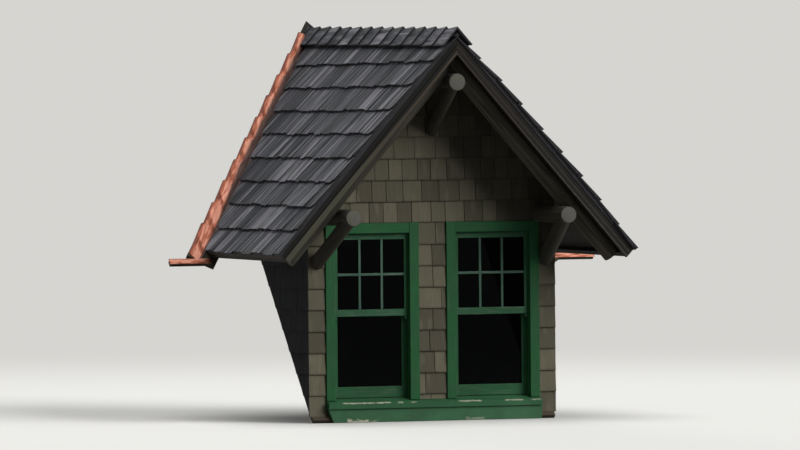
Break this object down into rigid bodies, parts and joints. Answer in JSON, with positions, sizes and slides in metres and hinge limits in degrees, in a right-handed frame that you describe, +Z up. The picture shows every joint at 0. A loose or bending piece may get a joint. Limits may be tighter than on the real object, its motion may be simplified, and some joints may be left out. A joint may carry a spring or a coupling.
{
  "type": "gabled dormer window",
  "caption": "Shingled gable dormer with paired sash windows, round log outriggers and braces, shake roof and copper valleys, on timber sleepers for a sloping roof.",
  "frame": {"origin": "on the seat plane (the sleepers' underside), on the centre line, under the outer face of the front wall's frame", "axes": "+X to the right seen from the front, +Y level and back into the main roof, +Z up"},
  "size_m": [3.704, 3.6763, 3.2573],
  "materials": {
    "framing_timber": "sawn softwood, unpainted",
    "wall_shingle": "weathered, stained shingles",
    "casing_paint": "green paint on wood, worn",
    "sash_paint": "green paint on wood, dusty",
    "sill_paint": "green paint on wood, chipped",
    "window_glass": "clear, slightly dusty",
    "roof_shake": "weathered silver-grey shakes",
    "board_stain": "dark brown stain, weathered",
    "moulding_wood": "weathered grey-brown wood",
    "log_wood": "peeled logs, stained and weathered",
    "copper_sheet": "bare copper sheet, bright and wrinkled"
  },
  "bodies": {
    "root": {"sole_plate": "framing_timber", "left_valley_sleeper": "framing_timber", "right_valley_sleeper": "framing_timber", "front_wall": "framing_timber", "left_cheek_wall": "framing_timber", "right_cheek_wall": "framing_timber", "gable_shingles": "wall_shingle", "middle_shingles": "wall_shingle", "left_corner_shingles": "wall_shingle", "right_corner_shingles": "wall_shingle", "left_cheek_shingles": "wall_shingle", "right_cheek_shingles": "wall_shingle", "left_window_frame": "casing_paint", "right_window_frame": "casing_paint", "left_upper_sash": "sash_paint", "left_lower_sash": "sash_paint", "right_upper_sash": "sash_paint", "right_lower_sash": "sash_paint", "left_upper_glass": "window_glass", "left_lower_glass": "window_glass", "right_upper_glass": "window_glass", "right_lower_glass": "window_glass", "window_sill": "sill_paint", "sill_apron": "sill_paint", "left_roof_deck": "framing_timber", "right_roof_deck": "framing_timber", "left_eave_board": "board_stain", "right_eave_board": "board_stain", "left_roof_shakes": "roof_shake", "right_roof_shakes": "roof_shake", "ridge_cap": "roof_shake", "left_barge_board": "board_stain", "right_barge_board": "board_stain", "left_barge_moulding": "moulding_wood", "right_barge_moulding": "moulding_wood", "left_barge_log": "log_wood", "right_barge_log": "log_wood", "ridge_log": "log_wood", "left_eave_log": "log_wood", "right_eave_log": "log_wood", "ridge_brace": "log_wood", "left_brace": "log_wood", "right_brace": "log_wood", "left_valley_copper": "copper_sheet", "right_valley_copper": "copper_sheet"}
  },
  "joints": []
}
